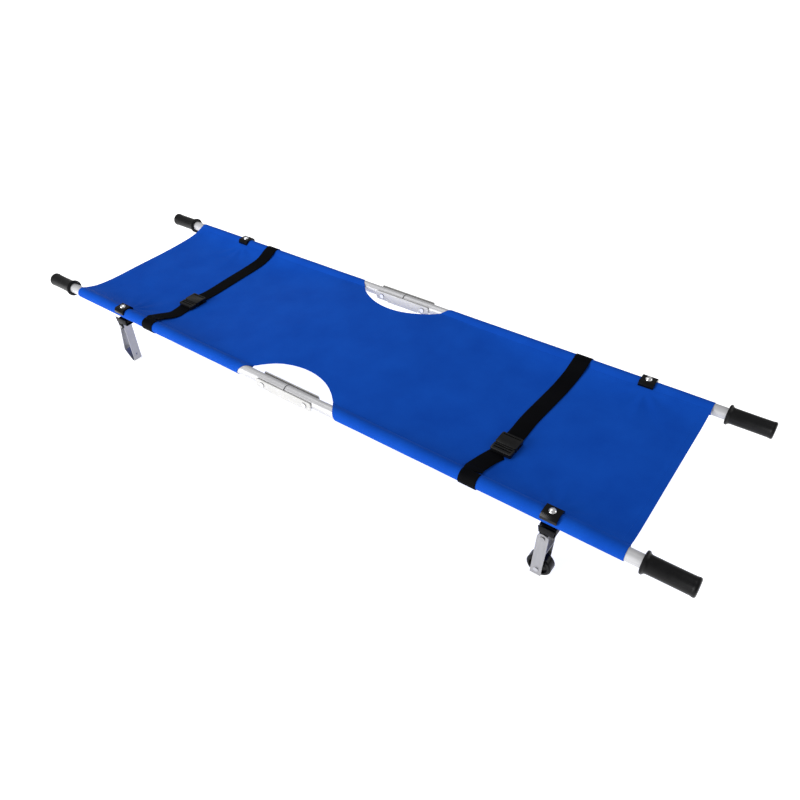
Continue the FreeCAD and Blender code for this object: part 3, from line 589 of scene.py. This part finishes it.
seams = {}
for end, sign in ends.items():
    body = f"near_{end}_frame"
    finish = canvasEnd[end] - bed["endInset"][end] - bed["endCurve"]
    reach = cutoutRadius + stitch["arcIn"]
    sewn = seamY - stitch["seamIn"]
    arcStart = math.sqrt(reach ** 2 - (cutoutCentre - seamY + stitch["seamIn"]) ** 2)
    startAngle = math.asin((bed["foldX"] + stitch["foldClear"]) / reach)
    stopAngle = math.asin(arcStart / reach)
    angles = [lerp(startAngle, stopAngle, k / stitch["arcSteps"]) for k in range(stitch["arcSteps"])]
    count = int((finish - arcStart) / stitch["seamStep"])
    line = [(reach * math.sin(angle), cutoutCentre - reach * math.cos(angle)) for angle in angles]
    line += [(lerp(arcStart, finish, k / count), sewn) for k in range(count + 1)]
    for side, sideSign in sides.items():
        seams[pieceName(side, end, "SeamStitch")] = (body, [onSheet(sign * x, sideSign * y) for x, y in line])
    hemX = sign * (finish + bed["endCurve"] - bed["endHem"] + stitch["hemIn"])
    rows, doubled = stitch["endSteps"], Vector((0, 0, bed["thickness"] / 2))
    across = [lerp(-seamY, seamY, k / rows) * stitch["endShare"] for k in range(rows + 1)]
    seams[f"{end}EndStitch"] = (body, [onSheet(hemX, y) + doubled for y in across])
for name, (body, points) in seams.items():
    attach(sewSeam(name, points), body)
print("seams sewn", len(seams))


# Patient straps
strap = {"width": 0.044, "thickness": 0.0016, "inside": 0.0168, "leaveAngle": 58, "endAngle": -48,
         "pointStep": 0.004, "acrossFaces": 8, "loopSteps": 40, "curveSteps": 24,
         "edge": 0.0004, "clear": 0.0004, "inBuckle": 0.006, "belowMiddle": 0.002,
         "landing": 0.222, "landingShare": 0.45, "slackNear": 0.0035, "slackFar": 0.003,
         "nearX": {"left": (-0.547, -0.561, -0.548), "right": (0.547, 0.541, 0.545)},
         "farX": {"left": (-0.551, -0.552, -0.549), "right": (0.556, 0.564, 0.570)}}


# A band of webbing along the points, where each normal is the outer face there
def ribbon(name, points, normals):
    rows = len(points) - 1
    lengths = [0.0]
    for here, there in zip(points, points[1:]):
        lengths.append(lengths[-1] + (there - here).length)

    def place(u, v):
        index = round(u * rows)
        ahead = points[min(index + 1, rows)] - points[max(index - 1, 0)]
        wide = ahead.cross(normals[index]).normalized()
        offset = (v - 0.5) * strap["width"]
        return points[index] + wide * offset, (lengths[index], offset)

    band = clothGrid(name, rows, strap["acrossFaces"], place)
    applyModifier(band, "SOLIDIFY", thickness=strap["thickness"], offset=0)
    applyModifier(band, "BEVEL", width=strap["edge"], segments=2, limit_method="ANGLE")
    smooth(band, 45)
    paint(band, "webbing")
    return band


# Evenly spaced points on a smooth curve through the route
def curvePoints(route, step):
    padded = [route[0] * 2 - route[1], *route, route[-1] * 2 - route[-2]]
    fine = []
    for a, b, c, d in zip(padded, padded[1:], padded[2:], padded[3:]):
        for k in range(strap["curveSteps"]):
            t = k / strap["curveSteps"]
            fine.append(0.5 * ((2 * b) + (c - a) * t + (2 * a - 5 * b + 4 * c - d) * t * t
                               + (3 * b - a - 3 * c + d) * t ** 3))
    fine.append(route[-1])
    total = sum((q - p).length for p, q in zip(fine, fine[1:]))
    count = max(int(total / step), 4)
    points, target, run = [fine[0]], total / count, 0.0
    for p, q in zip(fine, fine[1:]):
        gap = (q - p).length
        while run + gap >= target * len(points) and len(points) < count:
            points.append(p.lerp(q, (target * len(points) - run) / gap))
        run += gap
    points.append(fine[-1])
    return points


# The upper face of a band that runs mostly across the bed
def normalsOf(points):
    result = []
    for index in range(len(points)):
        ahead = points[min(index + 1, len(points) - 1)] - points[max(index - 1, 0)]
        result.append(ahead.cross(Vector((1, 0, 0)) if ahead.y < 0 else Vector((-1, 0, 0))).normalized())
    return [n if n.z > 0 else -n for n in result]


# The loop of webbing round the pole, from where it leaves for the bed over the top and round below
def poleWrap(side, end, x):
    sideSign = sides[side]
    radius = strap["inside"] + strap["thickness"] / 2
    first, last = math.radians(strap["leaveAngle"]), math.radians(360 + strap["endAngle"])
    points, normals = [], []
    for k in range(strap["loopSteps"] + 1):
        angle = lerp(first, last, k / strap["loopSteps"])
        outward = Vector((0, -sideSign * math.cos(angle), math.sin(angle)))
        points.append(Vector((x, sideSign * poleAxis.y, poleAxis.z)) + outward * radius)
        normals.append(outward)
    band = ribbon(pieceName(side, end, "StrapLoop"), points, normals)
    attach(band, f"{side}_{end}_frame")
    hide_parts(f"{side}_{end}_strap")
    return points[0]


# The middle of the webbing where it lies on the bed, or that much above it
def onBed(x, y, lift=0.0):
    above = (bed["thickness"] + strap["thickness"]) / 2 + strap["clear"] + lift
    return Vector((x, y, bedHeight(x, y) + above))


for end in ends:
    nearX, farX = strap["nearX"][end], strap["farX"][end]
    plugLow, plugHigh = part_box(f"{end}_buckle_plug")
    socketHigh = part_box(f"{end}_buckle_socket")[1]
    middleX = strapAt[end]
    webbingHeight = (plugLow.z + plugHigh.z) / 2 - strap["belowMiddle"]

    leaveNear = poleWrap("near", end, nearX[0])
    plugNear = Vector((middleX, plugLow.y + strap["inBuckle"], webbingHeight))
    slack = Vector((0, 0, strap["slackNear"]))
    route = [leaveNear, leaveNear.lerp(onBed(nearX[1], -strap["landing"]), strap["landingShare"]) + slack,
             onBed(nearX[1], -0.214, strap["slackNear"]), onBed(nearX[2], -0.175, 0.0015),
             onBed(lerp(nearX[2], middleX, 0.6), -0.148, 0.001), plugNear]
    points = curvePoints(route, strap["pointStep"])
    nearRun = ribbon(f"{end}StrapNearRun", points, normalsOf(points))
    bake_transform(nearRun)

    leaveFar = poleWrap("far", end, farX[2])
    socketFar = Vector((middleX, socketHigh.y - strap["inBuckle"], webbingHeight))
    slack = Vector((0, 0, strap["slackFar"]))
    route = [socketFar, onBed(lerp(middleX, farX[0], 0.4), socketHigh.y + 0.03, 0.001),
             onBed(farX[0], 0.0, 0.0006), onBed(lerp(farX[0], farX[1], 0.5), 0.07, 0.0012),
             onBed(farX[1], 0.14, 0.0006), onBed(lerp(farX[1], farX[2], 0.5), 0.200, 0.0012),
             leaveFar.lerp(onBed(farX[2], strap["landing"]), strap["landingShare"]) + slack, leaveFar]
    points = curvePoints(route, strap["pointStep"])
    farRun = ribbon(f"{end}StrapFarRun", points, normalsOf(points))
    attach(farRun, f"{end}_buckle")
    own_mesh(farRun)
print("straps made")


# Moulded and cast parts with their edges rounded
softEdge = {
    "_saddle": {"width": 0.0026, "segments": 4, "finish": "saddlePlastic", "slot": "black_plastic"},
    "_foot_mount": {"width": 0.0016, "segments": 3, "finish": "blockPlastic", "slot": "black_plastic"},
    "_buckle_socket": {"width": 0.0011, "segments": 3, "finish": "bucklePlastic", "slot": "buckle_plastic"},
    "_buckle_plug": {"width": 0.0007, "segments": 2, "finish": "bucklePlastic", "slot": "buckle_plastic"},
}


def bodyOf(nodeName):
    if "buckle_socket" in nodeName:
        return nodeName.replace("_buckle_socket", "_buckle")
    if "buckle_plug" in nodeName:
        return nodeName.replace("_buckle_plug", "_plug")
    side, end = nodeName.split("_")[:2]
    return f"{side}_{end}_frame"


def roundedCopy(nodeName, look):
    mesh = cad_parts[nodeName].data.copy()
    words = nodeName.split("_")
    piece = bpy.data.objects.new(words[0] + "".join(word.title() for word in words[1:]), mesh)
    mesh.name = piece.name
    scene.collection.objects.link(piece)
    selectOnly(piece)
    bpy.ops.object.mode_set(mode="EDIT")
    bpy.ops.mesh.select_all(action="SELECT")
    bpy.ops.mesh.remove_doubles(threshold=0.00002)
    bpy.ops.mesh.dissolve_limited(angle_limit=math.radians(2))
    bpy.ops.object.mode_set(mode="OBJECT")
    applyModifier(piece, "BEVEL", width=look["width"], segments=look["segments"], limit_method="ANGLE",
                  angle_limit=math.radians(40), use_clamp_overlap=True)
    smooth(piece, 50)
    paint(piece, look["finish"])
    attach(piece, bodyOf(nodeName))
    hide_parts(nodeName)


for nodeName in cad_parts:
    ending = next((e for e in softEdge if nodeName.endswith(e)), None)
    if ending:
        roundedCopy(nodeName, softEdge[ending])
print("moulded parts rounded")


# Skirts moulded on the outboard face of the foot mounts
skirt = {"thickness": 0.0026, "gap": 0.0001, "top": 0.0152, "bottom": 0.0338, "taper": 0.0025,
         "bevel": 0.0012}


def mountSkirt(side, end):
    low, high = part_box(f"{side}_{end}_foot_mount")
    outward = sides[side]
    inner = abs(low.y if outward < 0 else high.y) + skirt["gap"]
    top, bottom = poleAxis.z - skirt["top"], poleAxis.z - skirt["bottom"]
    bpy.ops.object.select_all(action="DESELECT")
    bpy.ops.mesh.primitive_cube_add(size=1)
    piece = bpy.context.object
    piece.name = piece.data.name = pieceName(side, end, "MountSkirt")
    piece.scale = (high.x - low.x, skirt["thickness"], top - bottom)
    piece.location = ((low.x + high.x) / 2, outward * (inner + skirt["thickness"] / 2), (top + bottom) / 2)
    bpy.ops.object.transform_apply(location=True, rotation=True, scale=True)
    bpy.ops.object.mode_set(mode="EDIT")
    bpy.ops.mesh.select_all(action="DESELECT")
    bpy.ops.object.mode_set(mode="OBJECT")
    for face in piece.data.polygons:
        face.select = face.normal.z < -0.9
    bpy.ops.object.mode_set(mode="EDIT")
    bpy.ops.transform.resize(value=(1 - 2 * skirt["taper"] / (high.x - low.x), 1, 1),
                             center_override=((low.x + high.x) / 2, 0, bottom))
    bpy.ops.object.mode_set(mode="OBJECT")
    applyModifier(piece, "BEVEL", width=skirt["bevel"], segments=3, limit_method="ANGLE")
    smooth(piece, 35)
    paint(piece, "blockPlastic")
    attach(piece, f"{side}_{end}_frame")


for side in sides:
    for end in ends:
        mountSkirt(side, end)
print("mount skirts made")


# Hand grips
grip = {"faces": 48, "rim": 0.0025, "lip": 0.0008, "flangeRise": 0.00475, "bore": 0.0152, "boreDepth": 0.09}


# Rings drawn out along direction and closed at the ends, where profile holds (distance from start, radius)
def turnedPiece(name, start, direction, profile, faces):
    axis = Vector(direction)
    distance, radius = profile[0]
    bpy.ops.object.select_all(action="DESELECT")
    bpy.ops.mesh.primitive_circle_add(vertices=faces, radius=radius, fill_type="NGON",
                                      location=Vector(start) + axis * distance,
                                      rotation=axis.to_track_quat("Z", "Y").to_euler())
    piece = bpy.context.object
    piece.name = piece.data.name = name
    bpy.ops.object.transform_apply(location=True, rotation=True, scale=True)
    bpy.ops.object.mode_set(mode="EDIT")
    bpy.ops.mesh.select_all(action="SELECT")
    for nextDistance, nextRadius in profile[1:]:
        move = axis * (nextDistance - distance)
        bpy.ops.mesh.extrude_region_move(TRANSFORM_OT_translate={"value": tuple(move)})
        ratio = nextRadius / radius
        bpy.ops.transform.resize(value=(ratio, ratio, ratio),
                                 center_override=tuple(Vector(start) + axis * nextDistance))
        distance, radius = nextDistance, nextRadius
    bpy.ops.mesh.select_all(action="SELECT")
    bpy.ops.mesh.normals_make_consistent(inside=False)
    bpy.ops.object.mode_set(mode="OBJECT")
    return piece


for side, sideSign in sides.items():
    for end, sign in ends.items():
        low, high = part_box(f"{side}_{end}_grip")
        length = high.x - low.x
        flange = (high.z - low.z) / 2
        body = flange - grip["flangeRise"]
        lip = body + grip["lip"]
        start = Vector((high.x if sign > 0 else low.x, sideSign * poleAxis.y, poleAxis.z))
        profile = [  # closed end, rounded lip, body, flange, then the bore
            (0.0006, body * 0.55), (0.0, body * 0.62), (0.0, body - grip["rim"]), (0.0009, body - 0.0009),
            (0.0026, lip - 0.0002), (0.0052, lip), (0.0076, body + grip["lip"] * 0.4),
            (0.0105, body - 0.0002), (length * 0.45, body - 0.0003), (length - 0.013, body - 0.0001),
            (length - 0.0095, body + 0.0006),
            (length - 0.0075, body + 0.0022), (length - 0.0066, flange - 0.0012), (length - 0.0052, flange),
            (length - 0.0018, flange), (length - 0.0005, flange - 0.0011), (length, flange - 0.0026),
            (length, grip["bore"] + 0.0012), (length - 0.0012, grip["bore"]),
            (length - grip["boreDepth"], grip["bore"]),
        ]
        piece = turnedPiece(pieceName(side, end, "Grip"), start, (-sign, 0, 0), profile, grip["faces"])
        smooth(piece, 40)
        paint(piece, "gripRubber")
        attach(piece, f"{side}_{end}_frame")
        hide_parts(f"{side}_{end}_grip")
print("grips made")


# Thin dark rings under the rivet heads of the hinge channels: painted shade round the rim of each rivet head
shadeRing = {"radius": 0.0076, "thickness": 0.0004, "rim": 0.00015, "faces": 40}
for side, sideSign in sides.items():
    low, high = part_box(f"{side}_hinge_channel")
    for pinSign in (-1, 1):
        for face, outward in ((low.y, -1), (high.y, 1)):
            start = (pinSign * bed["foldX"], face, middleOf(f"{side}_hinge_pins").z)
            profile = [(0.0, shadeRing["radius"]), (shadeRing["thickness"] - shadeRing["rim"], shadeRing["radius"]),
                       (shadeRing["thickness"], shadeRing["radius"] - shadeRing["rim"])]
            sideName = "Left" if pinSign < 0 else "Right"
            faceName = "Outer" if outward == sideSign else "Inner"
            piece = turnedPiece(f"{side}{sideName}{faceName}Washer", start, (0, outward, 0), profile,
                                shadeRing["faces"])
            smooth(piece, 40)
            # painted shade: the dark ring round the rivet head
            paint(piece, "washerSteel")
            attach(piece, f"{side}_hinge")
print("shadeRings made")


# Floor, backdrop light and soft boxes
studio = {"floorSize": 60.0, "floorColour": (0.84, 0.84, 0.84), "paperTone": 0.985, "floorGlow": 0.80,
          "world": (1.0, 1.0, 1.0), "worldStrength": 0.42, "backdrop": 1.0, "aim": (0.1, 0.0, 0.15)}
softBoxes = {
    "keyBox": {"place": (-2.0, -4.4, 1.5), "size": 2.6, "power": 235.0},
    "topBox": {"place": (-1.0, 0.4, 3.0), "size": 2.0, "power": 27.0},
    "rimBox": {"place": (3.2, 1.4, 1.5), "size": 1.2, "power": 14.0},
}
bpy.ops.object.select_all(action="DESELECT")
bpy.ops.mesh.primitive_plane_add(size=studio["floorSize"], location=(0, 0, 0))
floor = bpy.context.object
floor.name = "studioFloor"
floorMaterial, floorShader = newMaterial("studioFloor", Roughness=0.9, Specular_IOR_Level=0.1)
paper = grain(floorMaterial, coordinates(floorMaterial, "Object"), 60.0, 3.0)
darker = tuple(c * studio["paperTone"] for c in studio["floorColour"])
join(floorMaterial, ramp(floorMaterial, paper, ((0.0, darker), (1.0, studio["floorColour"]))),
     floorShader.inputs["Base Color"])
floorShader.inputs["Emission Color"].default_value = (1, 1, 1, 1)
floorShader.inputs["Emission Strength"].default_value = studio["floorGlow"]
floor.data.materials.append(floorMaterial)
world = bpy.data.worlds.new("studioWorld")
world.use_nodes = True
world.node_tree.nodes["Background"].inputs["Color"].default_value = (*studio["world"], 1)
rays = addNode(world, "ShaderNodeLightPath")  # the backdrop looks white, and lights the object more softly
lighting = addNode(world, "ShaderNodeMapRange",
                   {"To Min": studio["worldStrength"], "To Max": studio["backdrop"]})
join(world, rays.outputs["Is Camera Ray"], lighting.inputs["Value"])
join(world, lighting.outputs["Result"], world.node_tree.nodes["Background"].inputs["Strength"])
scene.world = world
for name, box in softBoxes.items():
    lightData = bpy.data.lights.new(name, "AREA")
    lightData.energy = box["power"]
    lightData.size = box["size"]
    light = bpy.data.objects.new(name, lightData)
    light.location = box["place"]
    light.rotation_euler = (Vector(studio["aim"]) - light.location).to_track_quat("-Z", "Y").to_euler()
    scene.collection.objects.link(light)
scene.view_settings.view_transform = "Standard"
print("studio lit")
